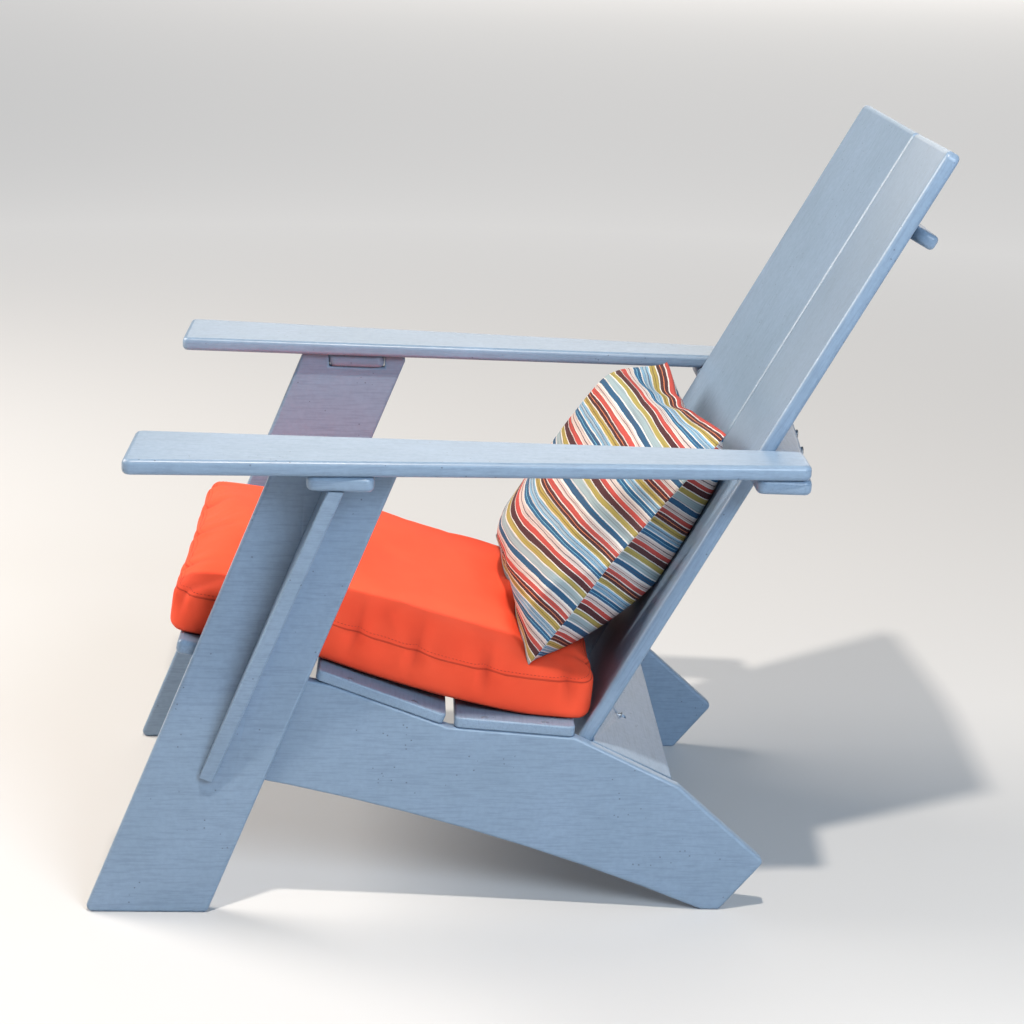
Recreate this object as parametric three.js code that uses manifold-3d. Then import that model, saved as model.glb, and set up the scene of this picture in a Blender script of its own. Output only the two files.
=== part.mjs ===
// A lounge chair of the adirondack kind, built from sheets of recycled plastic lumber,
// with a loose seat cushion and a loose pillow. Millimetres, +Z up. The sitter faces -Y
// and has +X on their left. The origin is the centre of the bounding box, on the ground.

import * as THREE from 'three';
import { mergeVertices } from 'three/addons/utils/BufferGeometryUtils.js';
import Module from 'manifold-3d';

const wasm = await Module();
wasm.setup();

// ---- Driving dimensions ---------------------------------------------------------------
// Side-view lines are written as z = rise + slope * y, from a point and a slope.

const BOARD = 16;              // sheet thickness of the structure
const THIN_BOARD = 12;         // sheet thickness of the middle and rear slats
const GAP = 0.3;               // clearance between pieces that touch
const SMALL_ROUND = 3.5;       // edge rounding on legs and side panels
const LARGE_ROUND = 5;         // edge rounding on the pieces that hands and backs touch
const ROUND_STEPS = 3;
const CORNER_STEPS = 4;

const PANEL_INNER = 226.5;     // half the clear width between the side panels
const PANEL_OUTER = PANEL_INNER + BOARD;
const LEG_OUTER = PANEL_OUTER + BOARD;

const LEG_FRONT = lineFrom(-490.3, 0, 1 / 0.4101);
const LEG_REAR = lineFrom(-356.2, 0, 1 / 0.4046);
const LEG_CORNER = 6.5;        // outline corners of legs, panels and back

const ARM_HEIGHT = 514.1;      // underside of the arms at y = 0
const ARM_SLOPE = -0.0161;
const ARM_UNDERSIDE = lineFrom(0, ARM_HEIGHT, ARM_SLOPE);
const ARM_FRONT_Y = -426.3;
const ARM_REAR_Y = 271.9;
const ARM_FRONT_X = 350;       // outer edge at the front
const ARM_REAR_X = 291.5;      // outer edge at the rear
const ARM_CORNER = 9;

const PLATE_FRONT_Y = -244.7;  // support plate that bridges leg, fin and arm
const PLATE_REAR_Y = -176.5;
const PLATE_INNER_X = PANEL_OUTER - 5;
const PLATE_OUTER_X = 329;

const FIN_FOOT = [-355, 160];  // lower end of the slanted fin's centre line
const FIN_LEAN = 0.4095;       // run along y for each unit of height
const FIN_FOOT_WIDTH = 6;
const FIN_TOP_WIDTH = 69;
const FIN_ROUND = 2.4;

const SLAT_ROUND = 2.5;
const SLAT_HALF_LENGTH = PANEL_OUTER - GAP;
const SLATS = [
  slat('front', -385, -244, lineFrom(-385, 311, -0.204), BOARD, LARGE_ROUND),
  slat('middle', -235.5, -98, lineFrom(-223.2, 274.4, -0.3664), THIN_BOARD, SLAT_ROUND),
  slat('rear', -89, 42, lineFrom(-80.1, 225.5, -0.075), THIN_BOARD, SLAT_ROUND),
];

const PANEL_NOSE = [-358, -400];           // y of the side panel's front edge, top and bottom
const PANEL_HEEL = [158, 257.1, 209.5, 189]; // y of the rear corners, from the top to the foot
const PANEL_HEEL_Z = 58.4;
const PANEL_ARCH = [0.3785, 0.00023]; // underside, behind the toe: z = (toe - y) * (a + b * y)
const ARCH_STEPS = 9;

const STRETCHER_TOP = lineFrom(57.9, 196.5, -0.49);
const STRETCHER_REAR_Y = 152.3;

const SEAM_Y = -42.8;          // where the back's centre seam would meet the ground
const BACK_RUN = 0.5493;       // run along y for each unit of height
const BACK_TILT = Math.atan2(1, BACK_RUN);
const BACK_DISH = THREE.MathUtils.degToRad(4.38);  // each back board turns in by this angle
const BACK_BOARD_WIDTH = 225.1;
const BACK_LOW = 148;          // measured up the slope from the ground
const BACK_HIGH = 953.5;
const SEAM_HALF_GAP = 0.6;

const BATTEN_UP = 864.4;       // height of the top batten's middle, up the slope
const BATTEN_HALF_LENGTH = 205;
const BATTEN_DEPTH = 31;

const CROSS_HALF_LENGTH = 289;
const CROSS_FRONT_Y = 216;
const CROSS_REAR_Y = 273;
const CROSS_DEPTH = 42;

const CUSHION_HALF_WIDTH = 226;
const CUSHION_ROUND = 15;
const CUSHION_CORNER = 18;
const PILLOW_HALF = [195, 155, 63];
const PILLOW_CENTRE = [0, 79, 411];
const PILLOW_TILT = THREE.MathUtils.degToRad(49.7);
const PILLOW_SQUARENESS = 5;

const SCREW_SIDES = 8;
const SCREW_SHANK = 2.1;
const FLAT_HEAD = 4.3;         // countersunk head radius
const PAN_HEAD = 5.5;          // pan head radius
const PAN_HEIGHT = 2.2;

// Screw places: [y, z] on the inner faces of the side panels and legs, else x or y alone.
const LEG_SCREWS = [[-345, 205], [-325, 250]];
const FIN_SCREWS = [[-305, 270], [-255.5, 403]];
const PLATE_SCREW_XS = [265, 305];
const PLATE_SCREW_INSET = 20;  // from the rear edge of the support plate
const ARM_SCREW_X = 258;
const ARM_SCREW_YS = [232, 258];
const BACK_SCREW_XS = [60, 136];
const STRETCHER_SCREW_X = 97;
const STRETCHER_SCREW_Y = 106;
const STRETCHER_SCREW_RISE = 0.2;
const SLAT_SCREW_SHARES = [0.25, 0.75];  // of the slat's width

// Screw lengths by the boards they join.
const LEG_SCREW = 28;
const LOW_FIN_SCREW = 52;
const HIGH_FIN_SCREW = 38;
const ARM_SCREW = 27;
const CROSS_SCREW = 56;
const BATTEN_SCREW = 42;
const STRETCHER_SCREW = 44;
const SLAT_SCREW = 36;

// ---- Materials ------------------------------------------------------------------------

const lumber = new THREE.MeshStandardMaterial({ color: 0x7590ac, roughness: 0.45, metalness: 0 });
const steel = new THREE.MeshStandardMaterial({ color: 0xb9bcc0, roughness: 0.3, metalness: 1 });
const coated = new THREE.MeshStandardMaterial({ color: 0x7590ac, roughness: 0.4, metalness: 0 });
const orangeCloth = new THREE.MeshStandardMaterial({ color: 0xf4502a, roughness: 0.9, metalness: 0 });
const stripedCloth = new THREE.MeshStandardMaterial({ color: 0xe6dfcf, roughness: 0.9, metalness: 0 });

// ---- Side-view lines ------------------------------------------------------------------

function lineFrom(y, z, slope) {
  return { slope, rise: z - slope * y };
}

function slat(name, from, to, top, thickness, round) {
  return { name, from, to, top, thickness, round };
}

function heightOn(line, y) {
  return line.rise + line.slope * y;
}

function crossing(a, b) {
  const y = (b.rise - a.rise) / (a.slope - b.slope);
  return [y, heightOn(a, y)];
}

// The parallel line at a given distance below.
function below(line, distance) {
  return { slope: line.slope, rise: line.rise - distance * Math.hypot(1, line.slope) };
}

// ---- Shapes and solids ----------------------------------------------------------------

// A closed outline from [x, y, radius] corners; a corner without a radius stays sharp.
function outline(corners) {
  const shape = new THREE.Shape();
  corners.forEach(([x, y, radius = 0], i) => {
    const corner = new THREE.Vector2(x, y);
    const before = corners[(i + corners.length - 1) % corners.length];
    const after = corners[(i + 1) % corners.length];
    const back = new THREE.Vector2(before[0], before[1]).sub(corner).normalize();
    const ahead = new THREE.Vector2(after[0], after[1]).sub(corner).normalize();
    const half = Math.acos(back.dot(ahead)) / 2;
    if (radius > 0) {
      const centre = back.clone().add(ahead).setLength(radius / Math.sin(half)).add(corner);
      const start = back.clone().multiplyScalar(radius / Math.tan(half)).add(corner).sub(centre);
      const end = ahead.clone().multiplyScalar(radius / Math.tan(half)).add(corner).sub(centre);
      const clockwise = back.cross(ahead) > 0;
      shape.absarc(centre.x, centre.y, radius, start.angle(), end.angle(), clockwise);
    } else if (i === 0) {
      shape.moveTo(x, y);
    } else {
      shape.lineTo(x, y);
    }
  });
  shape.closePath();
  return shape;
}

// A board of the given outline, from z = 0 up to its thickness, with rounded edges.
function board(corners, round, thickness = BOARD) {
  const geometry = new THREE.ExtrudeGeometry(outline(corners), {
    depth: thickness - 2 * round,
    bevelThickness: round,
    bevelSize: round,
    bevelOffset: -round,
    bevelSegments: ROUND_STEPS,
    curveSegments: CORNER_STEPS,
  });
  return geometry.translate(0, 0, round);
}

// The same corners for the sitter's left (side 1) or right (side -1).
function mirrored(corners, side) {
  return corners.map(([x, y, radius]) => [side * x, y, radius]);
}

// A V-shaped strip across the chair: half of it is listed from the middle outwards.
function bothHalves(half) {
  const other = mirrored(half, -1).reverse();
  return [...half, ...other.filter(([x]) => x !== 0)];
}

function toSolid(geometry) {
  const bare = geometry.clone();
  bare.deleteAttribute('normal');
  bare.deleteAttribute('uv');
  const merged = mergeVertices(bare, 1e-3);
  const index = merged.index.array;
  const triVerts = [];
  for (let i = 0; i < index.length; i += 3) {
    const [a, b, c] = [index[i], index[i + 1], index[i + 2]];
    if (a !== b && b !== c && c !== a) {
      triVerts.push(a, b, c);
    }
  }
  const vertProperties = new Float32Array(merged.attributes.position.array);
  const mesh = new wasm.Mesh({ numProp: 3, vertProperties, triVerts: new Uint32Array(triVerts) });
  return new wasm.Manifold(mesh);
}

function toGeometry(solid) {
  const mesh = solid.getMesh();
  const geometry = new THREE.BufferGeometry();
  geometry.setAttribute('position', new THREE.BufferAttribute(new Float32Array(mesh.vertProperties), 3));
  geometry.setIndex(new THREE.BufferAttribute(new Uint32Array(mesh.triVerts), 1));
  return geometry;
}

// Cut a mesh by tool geometries that are given in the chair's own frame.
function cut(mesh, tools) {
  const toLocal = mesh.matrixWorld.clone().invert();
  let solid = toSolid(mesh.geometry);
  for (const tool of tools) {
    solid = solid.subtract(toSolid(tool.clone().applyMatrix4(toLocal)));
  }
  mesh.geometry = toGeometry(solid);
}

// ---- Scene graph ----------------------------------------------------------------------

const chair = new THREE.Group();

const armLevel = new THREE.Group();
armLevel.position.set(0, 0, ARM_HEIGHT);
armLevel.rotation.x = Math.atan(ARM_SLOPE);
chair.add(armLevel);

// Local y runs up the back along its seam, local z points forward out of it.
const backrest = new THREE.Group();
backrest.position.set(0, SEAM_Y, 0);
backrest.rotation.x = BACK_TILT;
chair.add(backrest);

function place(name, geometry, material, parent = chair) {
  const mesh = new THREE.Mesh(geometry, material);
  mesh.name = name;
  parent.add(mesh);
  return mesh;
}

// Stand a side-view board up: its outline lies in the YZ plane, its thickness runs along X.
function standUp(mesh, innerX, side) {
  const [alongY, alongZ, alongX] = [[0, 1, 0], [0, 0, 1], [1, 0, 0]].map((v) => new THREE.Vector3(...v));
  mesh.quaternion.setFromRotationMatrix(new THREE.Matrix4().makeBasis(alongY, alongZ, alongX));
  mesh.position.x = side > 0 ? innerX : -innerX - BOARD;
}

const SIDES = [['left', 1], ['right', -1]];

// ---- Legs, panels, arms ---------------------------------------------------------------

function makeLeg(side, label) {
  const top = below(ARM_UNDERSIDE, GAP);
  const notch = below(ARM_UNDERSIDE, BOARD + 2 * GAP);
  const [notchFront, notchRear] = [PLATE_FRONT_Y - GAP, PLATE_REAR_Y + GAP];
  const corners = [
    [...crossing(LEG_FRONT, lineFrom(0, 0, 0)), LEG_CORNER],
    [...crossing(LEG_REAR, lineFrom(0, 0, 0)), LEG_CORNER],
    [...crossing(LEG_REAR, top), LEG_CORNER],
    [notchRear, heightOn(top, notchRear)],
    [notchRear, heightOn(notch, notchRear)],
    [notchFront, heightOn(notch, notchFront)],
    [notchFront, heightOn(top, notchFront)],
    [...crossing(LEG_FRONT, top), LEG_CORNER],
  ];
  const leg = place(`${label}_leg`, board(corners, SMALL_ROUND), lumber);
  standUp(leg, PANEL_OUTER, side);
  return leg;
}

function makePanel(side, label) {
  const [under1, under2, under3] = SLATS.map(({ top, thickness }) => below(top, thickness + GAP));
  const [heelTop, heelTip, heelFoot, toe] = PANEL_HEEL;
  const arch = (y) => (toe - y) * (PANEL_ARCH[0] + PANEL_ARCH[1] * y);
  const corners = [
    [PANEL_NOSE[0], heightOn(under1, PANEL_NOSE[0]), LEG_CORNER],
    [...crossing(under1, under2)],
    [...crossing(under2, under3)],
    [...crossing(under3, STRETCHER_TOP)],
    [heelTop, heightOn(STRETCHER_TOP, heelTop), LEG_CORNER],
    [heelTip, PANEL_HEEL_Z, LEG_CORNER],
    [heelFoot, 0, LEG_CORNER],
  ];
  for (let i = 0; i <= ARCH_STEPS; i += 1) {
    const y = THREE.MathUtils.lerp(toe, PANEL_NOSE[1], i / ARCH_STEPS);
    corners.push([y, arch(y)]);
  }
  const panel = place(`${label}_side_panel`, board(corners, SMALL_ROUND), lumber);
  standUp(panel, PANEL_INNER, side);
  return panel;
}

function makeArm(side, label) {
  const corners = [
    [PANEL_INNER, ARM_FRONT_Y, ARM_CORNER],
    [ARM_FRONT_X, ARM_FRONT_Y, ARM_CORNER],
    [ARM_REAR_X, ARM_REAR_Y, ARM_CORNER],
    [PANEL_INNER, ARM_REAR_Y, ARM_CORNER],
  ];
  return place(`${label}_arm`, board(mirrored(corners, side), LARGE_ROUND), lumber, armLevel);
}

function makePlate(side, label) {
  const corners = [
    [PLATE_INNER_X, PLATE_FRONT_Y, ARM_CORNER],
    [PLATE_OUTER_X, PLATE_FRONT_Y, ARM_CORNER],
    [PLATE_OUTER_X, PLATE_REAR_Y, ARM_CORNER],
    [PLATE_INNER_X, PLATE_REAR_Y, ARM_CORNER],
  ];
  const plate = place(`${label}_arm_plate`, board(mirrored(corners, side), LARGE_ROUND), lumber, armLevel);
  plate.position.z = -BOARD - GAP;
  return plate;
}

// The fin braces the plate from the outer face of the leg. Its top is trimmed to the plate.
function makeFin(side, label) {
  const tilt = Math.atan2(1, FIN_LEAN);
  const inner = LEG_OUTER + GAP;
  const plateUnderside = below(ARM_UNDERSIDE, BOARD + 2 * GAP);
  const reach = (heightOn(plateUnderside, PLATE_FRONT_Y) - FIN_FOOT[1]) / Math.sin(tilt);
  const spare = BOARD;
  const widen = (FIN_TOP_WIDTH - FIN_FOOT_WIDTH) / reach;
  const corners = [
    [inner, 0],
    [inner + FIN_FOOT_WIDTH, 0],
    [inner + FIN_TOP_WIDTH + widen * spare, reach + spare],
    [inner, reach + spare],
  ];
  const fin = place(`${label}_fin`, board(mirrored(corners, side), FIN_ROUND), lumber);
  const across = BOARD / 2;
  fin.rotation.x = tilt;
  fin.position.set(0, FIN_FOOT[0] + across * Math.sin(tilt), FIN_FOOT[1] - across * Math.cos(tilt));
  return fin;
}

// ---- Seat and back --------------------------------------------------------------------

function makeSlat({ name, from, to, top, thickness, round }) {
  const tilt = Math.atan(top.slope);
  const length = (to - from) / Math.cos(tilt);
  const corners = [
    [-SLAT_HALF_LENGTH, 0, LEG_CORNER],
    [SLAT_HALF_LENGTH, 0, LEG_CORNER],
    [SLAT_HALF_LENGTH, length, LEG_CORNER],
    [-SLAT_HALF_LENGTH, length, LEG_CORNER],
  ];
  const mesh = place(`${name}_seat_slat`, board(corners, round, thickness), lumber);
  mesh.rotation.x = tilt;
  const underside = below(top, thickness);
  const start = from + thickness * Math.sin(tilt);
  mesh.position.set(0, start, heightOn(underside, start));
  return mesh;
}

// Rear face of the dished back in side view, at a distance x from the seam.
function backRear(x) {
  const behindSeam = BOARD / Math.cos(BACK_DISH) - Math.abs(x) * Math.tan(BACK_DISH) + GAP;
  return lineFrom(SEAM_Y + behindSeam / Math.sin(BACK_TILT), 0, 1 / BACK_RUN);
}

function makeBackBoard(side, label) {
  const outer = SEAM_HALF_GAP + BACK_BOARD_WIDTH;
  const corners = [
    [SEAM_HALF_GAP, BACK_LOW, LEG_CORNER],
    [outer, BACK_LOW, LEG_CORNER],
    [outer, BACK_HIGH, ARM_CORNER],
    [SEAM_HALF_GAP, BACK_HIGH, LEG_CORNER],
  ];
  const mesh = place(`${label}_back_board`, board(mirrored(corners, side), LARGE_ROUND), lumber, backrest);
  mesh.rotation.y = -side * BACK_DISH;
  mesh.position.set(side * BOARD * Math.sin(BACK_DISH), 0, -BOARD * Math.cos(BACK_DISH));
  return mesh;
}

function makeStretcher() {
  const tilt = Math.atan(STRETCHER_TOP.slope);
  const half = PANEL_INNER - GAP;
  const alongSlope = (y) => y / Math.cos(tilt);
  const rear = alongSlope(STRETCHER_REAR_Y);
  const corners = bothHalves([
    [0, alongSlope(crossing(backRear(0), STRETCHER_TOP)[0])],
    [half, alongSlope(crossing(backRear(half), STRETCHER_TOP)[0])],
    [half, rear],
  ]);
  const mesh = place('rear_stretcher', board(corners, SLAT_ROUND), lumber);
  const underside = below(STRETCHER_TOP, BOARD);
  const start = BOARD * Math.sin(tilt);
  mesh.rotation.x = tilt;
  mesh.position.set(0, start, heightOn(underside, start));
  return mesh;
}

function makeCrosspiece() {
  const top = below(ARM_UNDERSIDE, GAP);
  const inner = PANEL_INNER;
  const seam = crossing(backRear(0), top)[0];
  const edge = crossing(backRear(inner), top)[0];
  const corners = bothHalves([
    [0, seam],
    [inner, edge],
    [inner, CROSS_FRONT_Y],
    [CROSS_HALF_LENGTH, CROSS_FRONT_Y, ARM_CORNER],
    [CROSS_HALF_LENGTH, CROSS_REAR_Y, ARM_CORNER],
    [0, seam + CROSS_DEPTH],
  ]);
  const mesh = place('arm_crosspiece', board(corners, LARGE_ROUND), lumber, armLevel);
  mesh.position.z = -BOARD - GAP;
  return mesh;
}

// A strip on edge behind the top of the back, square to the boards.
function makeBatten() {
  const front = (x) => x * Math.tan(BACK_DISH) - BOARD / Math.cos(BACK_DISH) - GAP;
  const end = front(BATTEN_HALF_LENGTH);
  const corners = bothHalves([
    [0, front(0)],
    [BATTEN_HALF_LENGTH, end],
    [BATTEN_HALF_LENGTH, end - BATTEN_DEPTH, LEG_CORNER],
    [0, front(0) - BATTEN_DEPTH],
  ]);
  const mesh = place('top_batten', board(corners, LARGE_ROUND), lumber, backrest);
  mesh.rotation.x = Math.PI / 2;
  mesh.position.y = BATTEN_UP + BOARD / 2;
  return mesh;
}

// ---- Cushion and pillow ---------------------------------------------------------------

function makeCushion() {
  const corners = [
    [-386, 314, CUSHION_CORNER],
    [-242, 285],
    [-95, 235],
    [48, 220, CUSHION_CORNER],
    [66, 262, CUSHION_CORNER],
    [-70, 283],
    [-242, 350],
    [-392, 377, CUSHION_CORNER],
  ];
  const width = 2 * CUSHION_HALF_WIDTH;
  const mesh = place('seat_cushion', board(corners, CUSHION_ROUND, width), orangeCloth);
  standUp(mesh, 0, 1);
  mesh.position.x = -CUSHION_HALF_WIDTH;
  return mesh;
}

// A sphere whose outline is drawn out to a rounded square and whose depth is flattened.
function makePillow() {
  const geometry = new THREE.SphereGeometry(1, 20, 12);
  const position = geometry.attributes.position;
  const point = new THREE.Vector3();
  for (let i = 0; i < position.count; i += 1) {
    point.fromBufferAttribute(position, i);
    const radius = Math.hypot(point.x, point.z);
    const spread = radius === 0 ? 1 : radius / ((Math.abs(point.x) ** PILLOW_SQUARENESS
      + Math.abs(point.z) ** PILLOW_SQUARENESS) ** (1 / PILLOW_SQUARENESS));
    position.setXYZ(i,
      PILLOW_HALF[0] * point.x * spread,
      -PILLOW_HALF[1] * point.z * spread,
      PILLOW_HALF[2] * point.y);
  }
  const mesh = place('striped_pillow', toGeometry(toSolid(geometry)), stripedCloth);
  mesh.rotation.x = PILLOW_TILT;
  mesh.position.set(...PILLOW_CENTRE);
  return mesh;
}

// ---- Screws ---------------------------------------------------------------------------

// Profile of a screw from its tip up to its head, in y; grow > 0 makes its clearance hole.
function screwGeometry(length, pan, grow = 0) {
  const head = (pan ? PAN_HEAD : FLAT_HEAD) + grow;
  const shank = SCREW_SHANK + grow;
  const seat = pan ? 0 : -GAP;
  const top = grow > 0 ? PAN_HEAD : seat + (pan ? PAN_HEIGHT : 0);
  const neck = pan ? GAP - grow : seat + shank - head - grow;
  const rim = pan ? GAP - grow : seat - grow;
  const points = [
    [0, -length - grow],
    [shank, 2 * SCREW_SHANK - length],
    [shank, neck],
    [head, rim],
    [head, top],
    [0, top],
  ];
  return new THREE.LatheGeometry(points.map(([x, y]) => new THREE.Vector2(x, y)), SCREW_SIDES);
}

const holes = [];

// A screw whose head sits at a point on a surface and whose shank runs along a direction.
function makeScrew(name, at, along, length, { pan = false, parent = chair, metal = steel } = {}) {
  const screw = place(name, toGeometry(toSolid(screwGeometry(length, pan))), metal, parent);
  const direction = new THREE.Vector3(...along).normalize();
  screw.position.set(...at);
  screw.quaternion.setFromUnitVectors(new THREE.Vector3(0, -1, 0), direction);
  screw.updateWorldMatrix(true, false);
  holes.push(screwGeometry(length, pan, GAP).applyMatrix4(screw.matrixWorld));
}

function makeScrews() {
  for (const [label, side] of SIDES) {
    // Side panel to leg, and through both into the fin, all from the inside.
    const out = [side, 0, 0];
    const inside = side * PANEL_INNER;
    for (const [i, [y, z]] of LEG_SCREWS.entries()) {
      makeScrew(`${label}_leg_screw_${i + 1}`, [inside, y, z], out, LEG_SCREW);
    }
    const [low, high] = FIN_SCREWS;
    makeScrew(`${label}_fin_screw_1`, [inside, ...low], out, LOW_FIN_SCREW);
    makeScrew(`${label}_fin_screw_2`, [side * PANEL_OUTER, ...high], out, HIGH_FIN_SCREW);

    // Support plate and crosspiece up into the arm.
    for (const [i, x] of PLATE_SCREW_XS.entries()) {
      const at = [side * x, PLATE_REAR_Y - PLATE_SCREW_INSET, -BOARD - GAP];
      makeScrew(`${label}_plate_screw_${i + 1}`, at, [0, 0, 1], ARM_SCREW, { parent: armLevel });
    }
    for (const [i, y] of ARM_SCREW_YS.entries()) {
      const at = [side * ARM_SCREW_X, y, -BOARD - GAP];
      makeScrew(`${label}_arm_screw_${i + 1}`, at, [0, 0, 1], ARM_SCREW, { parent: armLevel });
    }

    // Crosspiece and batten forward into the back boards, from their rear edges.
    for (const [i, x] of BACK_SCREW_XS.entries()) {
      const seam = CROSS_DEPTH + crossing(backRear(0), ARM_UNDERSIDE)[0];
      const rear = THREE.MathUtils.lerp(seam, CROSS_REAR_Y, x / CROSS_HALF_LENGTH);
      const onCross = { pan: true, parent: armLevel };
      const at = [side * x, rear, -BOARD / 2 - GAP];
      makeScrew(`${label}_crosspiece_screw_${i + 1}`, at, [0, -1, 0], CROSS_SCREW, onCross);
      const end = x * Math.tan(BACK_DISH) - BOARD / Math.cos(BACK_DISH) - GAP - BATTEN_DEPTH;
      const onBatten = { pan: true, parent: backrest };
      const behind = [side * x, BATTEN_UP, end];
      makeScrew(`${label}_batten_screw_${i + 1}`, behind, [0, 0, 1], BATTEN_SCREW, onBatten);
    }

    // Stretcher into a back board, on a slant from its upper face.
    const top = heightOn(STRETCHER_TOP, STRETCHER_SCREW_Y);
    const at = [side * STRETCHER_SCREW_X, STRETCHER_SCREW_Y, top];
    makeScrew(`${label}_stretcher_screw`, at, [0, -1, STRETCHER_SCREW_RISE], STRETCHER_SCREW);

    // Two colour-matched screws down through each end of each slat into the panel's edge.
    for (const { name, from, to, top: face } of SLATS) {
      const tilt = Math.atan(face.slope);
      const down = [0, Math.sin(tilt), -Math.cos(tilt)];
      for (const [i, share] of SLAT_SCREW_SHARES.entries()) {
        const y = THREE.MathUtils.lerp(from, to, share);
        const spot = [side * (PANEL_INNER + BOARD / 2), y, heightOn(face, y)];
        makeScrew(`${label}_${name}_slat_screw_${i + 1}`, spot, down, SLAT_SCREW, { metal: coated });
      }
    }
  }
}

// ---- Assembly -------------------------------------------------------------------------

const boards = [];
for (const [label, side] of SIDES) {
  boards.push(makeLeg(side, label), makePanel(side, label), makeArm(side, label));
  boards.push(makePlate(side, label), makeFin(side, label), makeBackBoard(side, label));
}
boards.push(...SLATS.map(makeSlat), makeStretcher(), makeCrosspiece(), makeBatten());
makeCushion();
makePillow();
makeScrews();
chair.updateMatrixWorld(true);

// Everything above the underside of the support plates is taken off the fins.
const trimSize = 1000;
const trimBox = new THREE.BoxGeometry(trimSize, trimSize, trimSize);
trimBox.translate(0, 0, trimSize / 2 - BOARD - 2 * GAP).applyMatrix4(armLevel.matrixWorld);

for (const mesh of boards) {
  const space = new THREE.Box3().setFromObject(mesh);
  const tools = holes.filter((hole) => {
    hole.computeBoundingBox();
    return hole.boundingBox.intersectsBox(space);
  });
  if (mesh.name.endsWith('_fin')) {
    tools.push(trimBox);
  }
  if (tools.length > 0) {
    cut(mesh, tools);
  }
}

// Bring the middle of the bounding box over the origin.
const middle = new THREE.Box3().setFromObject(chair).getCenter(new THREE.Vector3());
chair.position.y = -middle.y;
chair.updateMatrixWorld(true);

export default chair;
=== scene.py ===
"""Looks for the adirondack chair: materials, cushion, pillow, floor, lights and camera.

Everything is in metres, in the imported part's frame: +Z up, the sitter faces -Y, and +X is
the sitter's left. The origin is the middle of the bounding box, on the ground.
"""

import bpy
import math
import numpy as np
from mathutils import Matrix, Vector, noise
from mathutils.bvhtree import BVHTree


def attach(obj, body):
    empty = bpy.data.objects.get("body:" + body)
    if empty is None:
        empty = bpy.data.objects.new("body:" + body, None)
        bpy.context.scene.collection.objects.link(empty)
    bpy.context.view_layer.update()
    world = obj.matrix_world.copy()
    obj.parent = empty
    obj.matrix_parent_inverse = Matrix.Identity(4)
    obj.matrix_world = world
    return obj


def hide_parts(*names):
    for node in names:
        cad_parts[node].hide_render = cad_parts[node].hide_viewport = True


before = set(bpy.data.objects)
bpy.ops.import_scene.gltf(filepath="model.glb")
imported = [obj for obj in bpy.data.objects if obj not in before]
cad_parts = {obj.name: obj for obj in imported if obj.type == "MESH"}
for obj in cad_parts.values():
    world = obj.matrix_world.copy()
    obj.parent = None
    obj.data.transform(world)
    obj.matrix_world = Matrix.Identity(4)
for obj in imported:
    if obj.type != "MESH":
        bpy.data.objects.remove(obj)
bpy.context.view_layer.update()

scene = bpy.context.scene
scene.view_settings.view_transform = "Standard"


# ---- Small helpers ----------------------------------------------------------------------

def srgb(red, green, blue):
    """Linear colour with alpha from 0-255 sRGB values."""
    def linear(value):
        value /= 255
        return value / 12.92 if value <= 0.04045 else ((value + 0.055) / 1.055) ** 2.4
    return (linear(red), linear(green), linear(blue), 1.0)


def new_mesh(name, vertices, faces):
    mesh = bpy.data.meshes.new(name)
    mesh.from_pydata([tuple(v) for v in vertices], [], faces)
    mesh.update()
    piece = bpy.data.objects.new(name, mesh)
    scene.collection.objects.link(piece)
    return piece


def get_points(mesh):
    points = np.empty(len(mesh.vertices) * 3)
    mesh.vertices.foreach_get("co", points)
    return points.reshape(-1, 3)


def set_points(mesh, points):
    mesh.vertices.foreach_set("co", np.asarray(points, np.float32).ravel())
    mesh.update()


def shade_smooth(mesh):
    mesh.polygons.foreach_set("use_smooth", [True] * len(mesh.polygons))
    mesh.update()


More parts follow.
